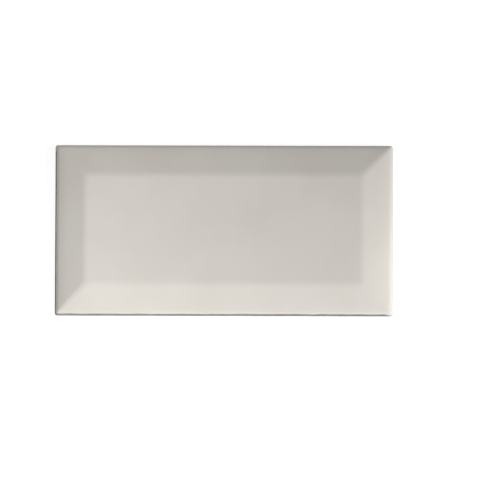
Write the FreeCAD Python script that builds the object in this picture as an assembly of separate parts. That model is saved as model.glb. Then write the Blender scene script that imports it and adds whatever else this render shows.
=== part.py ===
# Bevelled subway wall tile: one piece of pressed clay, glazed on its face and fired.
# It lies on its back. X runs along its length, Y along its height on the wall, Z out of its face.
# The origin is the middle of the back, in the plane that beds against the wall. Sizes are in millimetres.
import FreeCAD
import Part
import os

# Overall form
LENGTH = 150.0
HEIGHT = 76.0
EDGE_THICKNESS = 4.5    # from the back to the line where wall and bevel would meet in a sharp rim
BEVEL_RISE = 3.5        # from that line up to the flat of the face
BEVEL_WIDTH = 13.5      # from the wall in to the fold at the flat, in plan

# Rounds and arris
FOLD_RADIUS = 12.0      # glaze drawn over the fold round the flat, and over the mitre at each corner
EDGE_RADIUS = 2.2       # rim between bevel and wall, and upright corners of the outline
BACK_ARRIS = 0.5        # small slope that keeps the back edge from chipping

# Key pressed into the back, which the adhesive grips
KEY_COLUMNS = 8
KEY_ROWS = 4
KEY_MARGIN = 5.5        # from the wall to the first pocket
KEY_RIB = 3.0           # between neighbouring pockets
KEY_DEPTH = 0.6
KEY_TAPER = 0.4         # how far each pocket wall leans in towards the pocket floor
KEY_CORNER_RADIUS = 1.5

THICKNESS = EDGE_THICKNESS + BEVEL_RISE
TOLERANCE = 1e-4        # for telling at what height an edge lies


def crossed_runs(section, length, height):
    """Solid that two straight runs of a section share: one as wide as length, one as wide as height.

    section(width) lists (across, z) points. Where the runs cross, their slopes meet in mitres.
    """
    across_x = [FreeCAD.Vector(x, -height / 2, z) for x, z in section(length)]
    across_y = [FreeCAD.Vector(-length / 2, y, z) for y, z in section(height)]
    run_along_y = Part.Face(Part.makePolygon(across_x, True)).extrude(FreeCAD.Vector(0, height, 0))
    run_along_x = Part.Face(Part.makePolygon(across_y, True)).extrude(FreeCAD.Vector(length, 0, 0))
    return run_along_y.common(run_along_x).Solids[0]


def tile_section(width):
    """Walls, bevels and flat of the face, as points round a section of the given width."""
    half = width / 2
    right_side = [(half, 0), (half, EDGE_THICKNESS), (half - BEVEL_WIDTH, THICKNESS)]
    left_side = [(-x, z) for x, z in reversed(right_side)]
    return right_side + left_side


def pocket_section(width):
    """Leaning walls and floor of one pocket of the key, as points round a section of the given width."""
    half = width / 2
    right_side = [(half, 0), (half - KEY_TAPER, KEY_DEPTH)]
    left_side = [(-x, z) for x, z in reversed(right_side)]
    return right_side + left_side


def upright_edges(body):
    """Edges that rise from the back: the corners between walls."""
    return [edge for edge in body.Edges if edge.BoundBox.ZMin < TOLERANCE < edge.BoundBox.ZMax]


def pressed_tile():
    """The tile with its soft glazed edges and a plain back."""
    body = crossed_runs(tile_section, LENGTH, HEIGHT)

    folds_and_mitres = [edge for edge in body.Edges if edge.BoundBox.ZMax > THICKNESS - TOLERANCE]
    body = body.makeFillet(FOLD_RADIUS, folds_and_mitres).Solids[0]

    walls = [face for face in body.Faces if face.BoundBox.ZMin < TOLERANCE < face.BoundBox.ZMax]
    rim = [edge for wall in walls for edge in wall.Edges if edge.BoundBox.ZMin > TOLERANCE]
    body = body.makeFillet(EDGE_RADIUS, rim + upright_edges(body)).Solids[0]

    back_edges = [edge for edge in body.Edges if edge.BoundBox.ZMax < TOLERANCE]
    return body.makeChamfer(BACK_ARRIS, back_edges).Solids[0]


def back_key():
    """The grid of shallow pockets that is pressed into the back."""
    pocket_length = (LENGTH - 2 * KEY_MARGIN - (KEY_COLUMNS - 1) * KEY_RIB) / KEY_COLUMNS
    pocket_height = (HEIGHT - 2 * KEY_MARGIN - (KEY_ROWS - 1) * KEY_RIB) / KEY_ROWS
    pocket = crossed_runs(pocket_section, pocket_length, pocket_height)
    pocket = pocket.makeFillet(KEY_CORNER_RADIUS, upright_edges(pocket)).Solids[0]
    pockets = []
    for column in range(KEY_COLUMNS):
        for row in range(KEY_ROWS):
            x = (column - (KEY_COLUMNS - 1) / 2) * (pocket_length + KEY_RIB)
            y = (row - (KEY_ROWS - 1) / 2) * (pocket_height + KEY_RIB)
            pockets.append(pocket.translated(FreeCAD.Vector(x, y, 0)))
    return pockets


tile = pressed_tile().cut(back_key()).Solids[0]

os.makedirs("parts", exist_ok=True)
tile.exportStep("parts/bevelled_tile.step")
print("tile", tile.isValid(), round(tile.Volume), "mm3,", len(tile.Faces), "faces,", tile.optimalBoundingBox())
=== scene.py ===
import bpy
import bmesh
import math
from mathutils import Matrix, Vector, noise


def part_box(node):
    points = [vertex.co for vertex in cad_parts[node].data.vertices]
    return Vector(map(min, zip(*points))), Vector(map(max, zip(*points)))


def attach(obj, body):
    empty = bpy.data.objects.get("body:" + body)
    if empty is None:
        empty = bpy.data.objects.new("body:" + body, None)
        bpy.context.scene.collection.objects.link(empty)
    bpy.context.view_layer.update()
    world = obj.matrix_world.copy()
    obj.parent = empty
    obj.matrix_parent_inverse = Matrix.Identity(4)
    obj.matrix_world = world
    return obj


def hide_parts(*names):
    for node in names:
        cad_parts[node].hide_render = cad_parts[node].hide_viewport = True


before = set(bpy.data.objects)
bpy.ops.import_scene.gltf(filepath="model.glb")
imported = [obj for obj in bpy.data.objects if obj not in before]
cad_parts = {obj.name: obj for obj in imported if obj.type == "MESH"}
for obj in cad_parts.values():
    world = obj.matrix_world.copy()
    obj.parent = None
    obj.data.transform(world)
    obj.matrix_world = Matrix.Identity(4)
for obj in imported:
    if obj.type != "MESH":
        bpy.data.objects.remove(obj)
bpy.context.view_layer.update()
mm = 0.001


# Tile: face, rim, walls and keyed back in one mesh. Sizes in millimetres.
tile = {
    "edgeThickness": 4.5,   # back to the line where wall and bevel would meet
    "bevelWidth": 13.5,
    "foldRadius": 12.0,     # glaze drawn over the folds
    "rimRadius": 2.9,       # glaze drawn round the rim
    "rimEase": 3.2,         # width over which the bevel falls away towards the rim
    "rimDrop": 0.15,        # how far it has fallen there
    "outlineCorner": 1.1,
    "mitreCorner": 2.3,     # corner of a level line at the top of the bevels
    "flatCorner": 2.0,
    "backArris": 0.5,
    "faceWave": 0.025,      # slow unevenness of the glazed face
    "faceWaveFrom": 3.0,    # height from which it sets in, over one millimetre
    "outlineWave": 0.03,
    "outlineWaveReach": 4.0,    # how far in from the wall it is felt
    "glazeLine": 1.75,      # where the glaze stops, up the round of the rim; the bare dark clay below it is painted shade
    "glazeLowerRightTop": 1.45,      # how much lower it stops on the right and top edges, so that the painted shade of the bare clay shows only along the left and bottom edges
    "lowerRightTopTurn": 3.0,        # length over which that sets in at a corner
    "glazeRuns": 0.24,      # how far that line wanders
    "rippleShare": 0.5,     # finer ripple in it, as a share of the slow wander
    "runFrom": 0.35,        # wave above which the glaze ran further down
    "runGrowth": 2.2,
    "glazeStep": 0.10,      # glaze standing out over the bare clay
    "glazeLip": 0.14,       # over which it does so
    "lipSunk": 0.5,         # share of the step at the foot of the lip
    "waves": {              # length in millimetres, and seed
        "face": (21.0, 1.3),
        "outline": (13.0, 6.1),
        "wander": (9.0, 4.7),
        "ripple": (3.1, 8.2),
        "run": (6.0, 15.3),
    },
    "cornerStep": 0.24,     # between points of a ring at a corner
    "stepGrowth": 1.13,     # widening from there on, up to the next two
    "longStep": 1.9,
    "shortStep": 1.7,
    "keptNearCorner": 12.0,     # points this near a corner stay put as the rings shrink
    "claySteps": 8,
    "rimSteps": 14,
    "bevelSteps": 16,
    "foldSteps": 14,
    "sharpAngle": 32.0,     # degrees
}

low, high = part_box("bevelled_tile")
tileLength = (high[0] - low[0]) / mm
tileHeight = (high[1] - low[1]) / mm
tileThickness = (high[2] - low[2]) / mm
bevelAngle = math.atan2(tileThickness - tile["edgeThickness"], tile["bevelWidth"])
rimTurn = math.pi / 2 - math.atan(math.tan(bevelAngle) + 2 * tile["rimDrop"] / tile["rimEase"])
rimInset = tile["rimRadius"] * (1 - math.cos(rimTurn))


# Height of the bevel, by its distance in from the wall
def bevelHeight(inset):
    fallen = max(0.0, 1 - (inset - rimInset) / tile["rimEase"]) ** 2
    return tile["edgeThickness"] + inset * math.tan(bevelAngle) - tile["rimDrop"] * fallen


rimFoot = bevelHeight(rimInset) - tile["rimRadius"] * math.sin(rimTurn)
print("tile box", round(tileLength, 2), round(tileHeight, 2), round(tileThickness, 2))


# Distances from a corner to the middle of a side: close at the corner, wider along the side
def sideSpacing(halfSide, widest):
    places = [0.0]
    step = tile["cornerStep"]
    while places[-1] + step < halfSide:
        places.append(places[-1] + step)
        step = min(step * tile["stepGrowth"], widest)
    places[-1] = halfSide
    return places


longPlaces = sideSpacing(tileLength / 2, tile["longStep"])
shortPlaces = sideSpacing(tileHeight / 2, tile["shortStep"])


# A quarter of a ring, from the middle of the short side round the corner to the middle of the long side
def quarterRing(inset, radius):
    centreX = tileLength / 2 - inset - radius
    centreY = tileHeight / 2 - inset - radius
    halfArc = radius * math.pi / 4
    kept = tile["keptNearCorner"]

    def along(places, straight):
        stretch = (straight + halfArc - kept) / (places[-1] - kept)
        return [place if place < kept else kept + (place - kept) * stretch for place in places]

    def onArc(turn):
        return (centreX + radius * math.cos(turn), centreY + radius * math.sin(turn))

    points = []
    for far in reversed(along(shortPlaces, centreY)):
        if far < halfArc:
            points.append(onArc(math.pi / 4 - far / radius))
        else:
            points.append((centreX + radius, centreY - (far - halfArc)))
    for far in along(longPlaces, centreX)[1:]:
        if far < halfArc:
            points.append(onArc(math.pi / 4 + far / radius))
        else:
            points.append((centreX - (far - halfArc), centreY + radius))
    return points


def wholeRing(inset, radius):
    first = quarterRing(inset, radius)
    second = [(-x, y) for x, y in reversed(first)][1:]
    third = [(-x, -y) for x, y in first][1:]
    fourth = [(x, -y) for x, y in reversed(first)][1:-1]
    return first + second + third + fourth


# Place on the edge by the distance up it from the foot of the round, sunk in where the clay is bare
def edgePlace(up, sunk):
    rim = tile["rimRadius"]
    turn = max(0.0, up) / rim
    inset = rim * (1 - math.cos(turn)) + sunk * math.cos(turn)
    height = rimFoot + min(0.0, up) + (rim - sunk) * math.sin(turn)
    return inset, height


# Section from the rim up to the flat, as rings: inset, height, corner radius
def faceRings():
    fold = tile["foldRadius"]
    foldTangent = fold * math.tan(bevelAngle / 2)
    bevelEnd = tile["bevelWidth"] - foldTangent * math.cos(bevelAngle)
    outline = tile["outlineCorner"]
    mitre = tile["mitreCorner"]
    rings = []
    for i in range(1, tile["bevelSteps"]):
        share = i / tile["bevelSteps"]
        inset = rimInset + (bevelEnd - rimInset) * share
        rings.append((inset, bevelHeight(inset), outline + (mitre - outline) * share))
    for i in range(tile["foldSteps"] + 1):
        share = i / tile["foldSteps"]
        turn = bevelAngle * (1 - share)
        inset = tile["bevelWidth"] + foldTangent - fold * math.sin(turn)
        height = tileThickness - fold * (1 - math.cos(turn))
        rings.append((inset, height, mitre + (tile["flatCorner"] - mitre) * share))
    return rings


def slowWave(x, y, kind):
    size, seed = tile["waves"][kind]
    return noise.noise(Vector((x / size, y / size, seed)))


# Where the glaze stops on the edge, by the point of the outline, with a few longer runs, and lower on the
# right and top edges so that the bare clay's painted shade shows only along the left and bottom edges
def glazeEdge(x, y):
    wander = slowWave(x, y, "wander") + tile["rippleShare"] * slowWave(x, y, "ripple")
    run = max(0.0, slowWave(x, y, "run") - tile["runFrom"]) * tile["runGrowth"]
    fromRightTop = min(tileLength / 2 - x, tileHeight / 2 - y)
    loweredBy = tile["glazeLowerRightTop"] * max(0.0, 1 - fromRightTop / tile["lowerRightTopTurn"])
    return tile["glazeLine"] - loweredBy + tile["glazeRuns"] * (wander - run)


def addPoint(bm, x, y, z, isGlazed=0.0, isThin=0.0):
    felt = isGlazed * min(1.0, max(0.0, z - tile["faceWaveFrom"]))
    wave = tile["faceWave"] * slowWave(x, y, "face") * felt
    vert = bm.verts.new((x * mm, y * mm, (z + wave) * mm))
    vert[bm.verts.layers.float["glazed"]] = isGlazed
    vert[bm.verts.layers.float["thinGlaze"]] = isThin
    return vert


# Ring of points round the tile: placeAt gives inset and height for each point of the outline
def addRing(bm, corner, placeAt, isGlazed=0.0, isThin=0.0):
    ring = []
    for (x, y), (innerX, innerY) in zip(wholeRing(0.0, corner), wholeRing(1.0, corner)):
        inset, height = placeAt(x, y)
        felt = max(0.0, 1 - inset / tile["outlineWaveReach"])
        out = tile["outlineWave"] * slowWave(x, y, "outline") * felt
        atX = (x + (innerX - x) * inset) * (1 + 2 * out / tileLength)
        atY = (y + (innerY - y) * inset) * (1 + 2 * out / tileHeight)
        ring.append(addPoint(bm, atX, atY, height, isGlazed, isThin))
    return ring


def joinRings(bm, lower, upper):
    for i in range(len(lower)):
        j = (i + 1) % len(lower)
        bm.faces.new((lower[i], lower[j], upper[j], upper[i]))


# Edge from the back up: wall and foot of the rim in bare clay, whose dark grey is painted shade, then the
# lip of the glaze and the glazed rim
def addEdge(bm):
    corner = tile["outlineCorner"]
    arris = tile["backArris"]
    wallFoot = arris - rimFoot
    rimTop = tile["rimRadius"] * rimTurn

    def onClay(share):
        sunk = tile["glazeStep"] * share ** 2
        return lambda x, y: edgePlace(wallFoot + (glazeEdge(x, y) - wallFoot) * share, sunk)

    def onGlaze(share):
        sunk = tile["glazeStep"] * tile["lipSunk"] if share == 0 else 0.0

        def place(x, y):
            lipTop = glazeEdge(x, y) + tile["glazeLip"]
            return edgePlace(lipTop + (rimTop - lipTop) * share, sunk)

        return place

    rings = [addRing(bm, corner - arris, lambda x, y: (arris, 0.0))]
    for i in range(tile["claySteps"] + 1):
        rings.append(addRing(bm, corner, onClay(i / tile["claySteps"])))
    for i in range(tile["rimSteps"] + 1):
        share = i / tile["rimSteps"]
        rings.append(addRing(bm, corner, onGlaze(share), 1.0, 1 - share))
    return rings


# Flat of the face, as a grid inside the last ring
def addFlat(bm, edge):
    nShort = len(shortPlaces) - 1
    nLong = len(longPlaces) - 1

    def side(start, count):
        return [edge[(start + i) % len(edge)] for i in range(count + 1)]

    right = side(-nShort, 2 * nShort)
    top = side(nShort, 2 * nLong)
    left = side(nShort + 2 * nLong, 2 * nShort)
    bottom = side(3 * nShort + 2 * nLong, 2 * nLong)
    rows = [bottom[::-1]]
    for j in range(1, 2 * nShort):
        y = right[j].co.y / mm
        inner = [addPoint(bm, vert.co.x / mm, y, tileThickness, 1.0) for vert in top[1:-1]]
        rows.append([right[j]] + inner + [left[2 * nShort - j]])
    rows.append(top)
    for below, above in zip(rows, rows[1:]):
        for i in range(len(below) - 1):
            bm.faces.new((below[i], above[i], above[i + 1], below[i + 1]))


# Key in the back, which the adhesive grips: shallow pockets with leaning walls. Sizes in millimetres.
key = {
    "columns": 8,
    "rows": 4,
    "margin": 5.5,
    "rib": 3.0,
    "depth": 0.6,
    "taper": 0.4,
    "cornerRadius": 1.5,
    "cornerSteps": 6,
    "mouthRound": 0.14,     # worn edge where a pocket meets the level back
    "roundPoints": ((-1.0, 0.0), (-0.3, 0.25), (0.35, 1.0)),    # in and deep, as shares of it
}


def pocketCentres(whole, count):
    size = (whole - 2 * key["margin"] - (count - 1) * key["rib"]) / count
    return size, [(i - (count - 1) / 2) * (size + key["rib"]) for i in range(count)]


def pocketLoop(bm, x, y, length, height, radius, z):
    loop = []
    for corner, (signX, signY) in enumerate(((1, 1), (-1, 1), (-1, -1), (1, -1))):
        for i in range(key["cornerSteps"] + 1):
            turn = (corner + i / key["cornerSteps"]) * math.pi / 2
            atX = x + signX * (length / 2 - radius) + radius * math.cos(turn)
            atY = y + signY * (height / 2 - radius) + radius * math.sin(turn)
            loop.append(addPoint(bm, atX, atY, z))
    return loop


# Rings of one pocket from its mouth to its floor: how far in from the mouth, and how deep
def pocketRings():
    worn = key["mouthRound"]
    mouth = [(inward * worn, deep * worn) for inward, deep in key["roundPoints"]]
    floor = [(key["taper"] - inward, key["depth"] - deep) for inward, deep in reversed(mouth)]
    return mouth + floor


def addKeyedBack(bm, footRing):
    length, centresX = pocketCentres(tileLength, key["columns"])
    height, centresY = pocketCentres(tileHeight, key["rows"])
    loops = [footRing]
    for x in centresX:
        for y in centresY:
            rings = []
            for inset, depth in pocketRings():
                corner = key["cornerRadius"] - inset
                rings.append(pocketLoop(bm, x, y, length - 2 * inset, height - 2 * inset, corner, depth))
            for outer, inner in zip(rings, rings[1:]):
                joinRings(bm, outer, inner)
            bm.faces.new(rings[-1])
            loops.append(rings[0])
    # Border and ribs: the level part of the back, between its edge and the pockets' mouths
    edges = []
    for loop in loops:
        edges += [bm.edges.get((a, b)) for a, b in zip(loop, loop[1:] + loop[:1])]
    bmesh.ops.triangle_fill(bm, edges=edges, use_beauty=True, use_dissolve=False, normal=(0, 0, -1))


def buildTile():
    bm = bmesh.new()
    bm.verts.layers.float.new("glazed")
    bm.verts.layers.float.new("thinGlaze")
    rings = addEdge(bm)
    for inset, height, corner in faceRings():
        rings.append(addRing(bm, corner, lambda x, y: (inset, height), 1.0))
    for lower, upper in zip(rings, rings[1:]):
        joinRings(bm, lower, upper)
    addFlat(bm, rings[-1])
    addKeyedBack(bm, rings[0])
    bmesh.ops.recalc_face_normals(bm, faces=bm.faces[:])
    mesh = bpy.data.meshes.new("glazedTile")
    bm.to_mesh(mesh)
    bm.free()
    mesh.polygons.foreach_set("use_smooth", [True] * len(mesh.polygons))
    mesh.set_sharp_from_angle(angle=math.radians(tile["sharpAngle"]))
    return mesh


tileMesh = buildTile()
glazedTile = bpy.data.objects.new("glazedTile", tileMesh)
bpy.context.collection.objects.link(glazedTile)
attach(glazedTile, "root")
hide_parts("bevelled_tile")
print("tile mesh", len(tileMesh.vertices), "points,", len(tileMesh.polygons), "faces")


# Finish: satin off-white glaze over a clay body made dark grey as painted shade, for the dark line along
# the foot of the left and bottom edges. Colours are linear.
finish = {
    "glazeLight": (0.63, 0.597, 0.552, 1),
    "glazeDeep": (0.60, 0.566, 0.520, 1),
    "glazeThin": (0.60, 0.555, 0.50, 1),    # towards its edge, where the clay shows through
    "glazeRoughness": (0.46, 0.54),
    # Clay colours: darkened to grey as painted shade, so that the bare band along the foot of the left and
    # bottom edges shows as a dark shade line; the back takes the same colour
    "clayAndShadeLight": (0.28, 0.265, 0.242, 1),
    "clayAndShadeDeep": (0.20, 0.188, 0.170, 1),
    "clayRoughness": 0.86,
    "lipSpan": (0.35, 0.65),        # over which clay turns to glaze
    "thinSpan": (0.5, 1.0),         # over which the glaze thins towards its edge
    "thinMost": 0.25,
    "span": (0.3, 0.7),             # part of a noise that is spread from one look to the other
    "cloudNoise": (38.0, 3.0, 0.5),         # scale, detail and roughness of each noise
    "peelNoise": (620.0, 2.0, 0.45),
    "mottleNoise": (260.0, 6.0, 0.62),
    "grainNoise": (2100.0, 4.0, 0.6),
    "bumpHeight": 0.1,      # millimetres
    "peel": 0.08,           # bump of the glaze, as a share of that height
    "grain": 0.75,          # bump of the clay, likewise
}


def glazeFinish():
    material = bpy.data.materials.new("satinGlazeOnClay")
    material.use_nodes = True
    nodes = material.node_tree.nodes
    links = material.node_tree.links
    surface = nodes["Principled BSDF"]
    place = nodes.new("ShaderNodeTexCoord")

    def feed(socket, value):
        if isinstance(value, bpy.types.NodeSocket):
            links.new(value, socket)
        else:
            socket.default_value = value

    def noiseAt(scale, detail, roughness):
        texture = nodes.new("ShaderNodeTexNoise")
        feed(texture.inputs["Vector"], place.outputs["Object"])
        feed(texture.inputs["Scale"], scale)
        feed(texture.inputs["Detail"], detail)
        feed(texture.inputs["Roughness"], roughness)
        return texture.outputs["Fac"]

    def madeOver(value, fromLow, fromHigh, toLow, toHigh):
        remap = nodes.new("ShaderNodeMapRange")
        remap.interpolation_type = "SMOOTHSTEP"
        for name, number in zip(("Value", "From Min", "From Max", "To Min", "To Max"),
                                (value, fromLow, fromHigh, toLow, toHigh)):
            feed(remap.inputs[name], number)
        return remap.outputs["Result"]

    def blend(kind, factor, first, second):
        mix = nodes.new("ShaderNodeMix")
        mix.data_type = "RGBA" if kind == "colour" else "FLOAT"
        shown = [socket for socket in mix.inputs if socket.enabled]
        for socket, value in zip(shown, (factor, first, second)):
            feed(socket, value)
        return [socket for socket in mix.outputs if socket.enabled][0]

    def painted(name):
        attribute = nodes.new("ShaderNodeAttribute")
        attribute.attribute_name = name
        return attribute.outputs["Fac"]

    onGlaze = madeOver(painted("glazed"), *finish["lipSpan"], 0.0, 1.0)

    # Glaze: slow clouding, thinner towards its edge, a fine peel
    cloud = noiseAt(*finish["cloudNoise"])
    clouded = madeOver(cloud, *finish["span"], 0.0, 1.0)
    glazeColour = blend("colour", clouded, finish["glazeDeep"], finish["glazeLight"])
    thin = madeOver(painted("thinGlaze"), *finish["thinSpan"], 0.0, finish["thinMost"])
    glazeColour = blend("colour", thin, glazeColour, finish["glazeThin"])
    glazeRoughness = madeOver(cloud, *finish["span"], *finish["glazeRoughness"])
    glazeRelief = madeOver(noiseAt(*finish["peelNoise"]), 0.0, 1.0, 0.0, finish["peel"])

    # Clay: mottled and grainy, and dark grey as painted shade for the line along the foot of the edges
    mottle = madeOver(noiseAt(*finish["mottleNoise"]), *finish["span"], 0.0, 1.0)
    clayAndShadeColour = blend("colour", mottle, finish["clayAndShadeDeep"], finish["clayAndShadeLight"])
    clayRelief = madeOver(noiseAt(*finish["grainNoise"]), 0.0, 1.0, 0.0, finish["grain"])

    feed(surface.inputs["Base Color"], blend("colour", onGlaze, clayAndShadeColour, glazeColour))
    feed(surface.inputs["Roughness"], blend("number", onGlaze, finish["clayRoughness"], glazeRoughness))
    bump = nodes.new("ShaderNodeBump")
    feed(bump.inputs["Strength"], 1.0)
    feed(bump.inputs["Distance"], finish["bumpHeight"] * mm)
    feed(bump.inputs["Height"], blend("number", onGlaze, clayRelief, glazeRelief))
    feed(surface.inputs["Normal"], bump.outputs["Normal"])
    return material


tileMesh.materials.append(glazeFinish())
print("finish", tileMesh.materials[0].name)


# Studio: white floor, soft lamps, even fill. Metres and watts.
studio = {
    "floorSide": 6.0,
    "floorDrop": 0.00005,     # keeps the floor just clear of the back
    "floorGrey": 0.65,        # what the floor sends back to the tile
    "floorGlow": 0.83,        # what it shows besides, so that it looks white
    "floorShade": 0.30,       # what it shows of the lamps and of the tile's shadow
    "fill": 0.10,
    # Window and low lamps are kept out of the gloss, where they would blind the views across the face
    "lamps": {
        "window": {"at": (2.15, -0.23, 1.25), "size": 0.9, "watts": 46.8, "inGloss": False},
        "lampAbove": {"at": (-0.11, 0.0, 0.22), "size": 0.16, "watts": 0.169, "inGloss": True},
        "nearLamp": {"at": (-0.06, -0.05, 0.10), "size": 0.08, "watts": 0.020, "inGloss": True},
        "lowLamp": {"at": (0.0, -0.30, 0.07), "size": 0.10, "watts": 0.516, "inGloss": False},
        "lampAtSide": {"at": (0.13, -0.03, 0.03), "size": 0.04, "watts": 0.021, "inGloss": False},
    },
}


# 1 for rays that show the background: to the camera, in gloss and through glass
def seenDirectly(tree):
    rays = tree.nodes.new("ShaderNodeLightPath")
    seen = rays.outputs["Is Camera Ray"]
    for kind in ("Is Glossy Ray", "Is Transmission Ray"):
        either = tree.nodes.new("ShaderNodeMath")
        either.operation = "MAXIMUM"
        tree.links.new(seen, either.inputs[0])
        tree.links.new(rays.outputs[kind], either.inputs[1])
        seen = either.outputs[0]
    return seen


def levelWhere(tree, seen, otherwise, whereSeen):
    level = tree.nodes.new("ShaderNodeMapRange")
    tree.links.new(seen, level.inputs["Value"])
    level.inputs["To Min"].default_value = otherwise
    level.inputs["To Max"].default_value = whereSeen
    return level.outputs["Result"]


def whitePaper():
    paper = bpy.data.materials.new("whitePaper")
    paper.use_nodes = True
    tree = paper.node_tree
    tree.nodes.clear()
    seen = seenDirectly(tree)
    matt = tree.nodes.new("ShaderNodeBsdfDiffuse")
    tree.links.new(levelWhere(tree, seen, studio["floorGrey"], studio["floorShade"]), matt.inputs["Color"])
    glow = tree.nodes.new("ShaderNodeEmission")
    tree.links.new(levelWhere(tree, seen, 0.0, studio["floorGlow"]), glow.inputs["Strength"])
    both = tree.nodes.new("ShaderNodeAddShader")
    tree.links.new(matt.outputs[0], both.inputs[0])
    tree.links.new(glow.outputs[0], both.inputs[1])
    output = tree.nodes.new("ShaderNodeOutputMaterial")
    tree.links.new(both.outputs[0], output.inputs["Surface"])
    return paper


def buildStudio():
    half = studio["floorSide"] / 2
    z = -studio["floorDrop"]
    floorMesh = bpy.data.meshes.new("floor")
    corners = [(-half, -half, z), (half, -half, z), (half, half, z), (-half, half, z)]
    floorMesh.from_pydata(corners, [], [(0, 1, 2, 3)])
    floorMesh.materials.append(whitePaper())
    floor = bpy.data.objects.new("floor", floorMesh)
    bpy.context.collection.objects.link(floor)

    world = bpy.data.worlds.new("evenFill")
    bpy.context.scene.world = world
    world.use_nodes = True
    tree = world.node_tree
    background = tree.nodes["Background"]
    background.inputs["Color"].default_value = (1, 1, 1, 1)
    tree.links.new(levelWhere(tree, seenDirectly(tree), studio["fill"], 1.0), background.inputs["Strength"])

    for name, lamp in studio["lamps"].items():
        data = bpy.data.lights.new(name, "AREA")
        data.shape = "DISK"
        data.size = lamp["size"]
        data.energy = lamp["watts"]
        lampObject = bpy.data.objects.new(name, data)
        lampObject.location = lamp["at"]
        lampObject.rotation_euler = (-Vector(lamp["at"])).to_track_quat("-Z", "Y").to_euler()
        lampObject.visible_camera = False
        lampObject.visible_glossy = lamp["inGloss"]
        bpy.context.collection.objects.link(lampObject)


buildStudio()
print("studio", ", ".join(studio["lamps"]))


# Camera: almost straight down, as in the photograph, which is 500 pixels square
view = {
    "lens": 600.0,
    "sensor": 36.0,
    "frameWidth": 0.2220,           # metres across the picture, at the tile
    "lean": (0.5, -6.0),            # degrees off straight down, towards the right and the lower edge
    "roll": 0.20,
    "centre": (223.9, 230.1),       # pixel on which the middle of the tile falls
    "pixels": 500,
    "reach": 20.0,                  # metres, past which nothing is drawn
}


def buildCamera():
    data = bpy.data.cameras.new("camera")
    data.lens = view["lens"]
    data.sensor_width = view["sensor"]
    data.sensor_fit = "HORIZONTAL"
    data.clip_end = view["reach"]
    data.shift_x = 0.5 - view["centre"][0] / view["pixels"]
    data.shift_y = view["centre"][1] / view["pixels"] - 0.5
    camera = bpy.data.objects.new("camera", data)
    away = view["frameWidth"] * view["lens"] / view["sensor"]
    back = Vector([math.tan(math.radians(lean)) for lean in view["lean"]] + [1.0]).normalized()
    right = Vector((0, 1, 0)).cross(back).normalized()
    turned = Matrix((right, back.cross(right), back)).transposed().to_4x4()
    middle = Vector((0, 0, tileThickness * mm / 2))
    roll = Matrix.Rotation(math.radians(view["roll"]), 4, "Z")
    camera.matrix_world = Matrix.Translation(middle + back * away) @ turned @ roll
    bpy.context.collection.objects.link(camera)
    bpy.context.scene.camera = camera


buildCamera()
bpy.context.scene.view_settings.view_transform = "Standard"
print("camera", view["lens"], "mm")
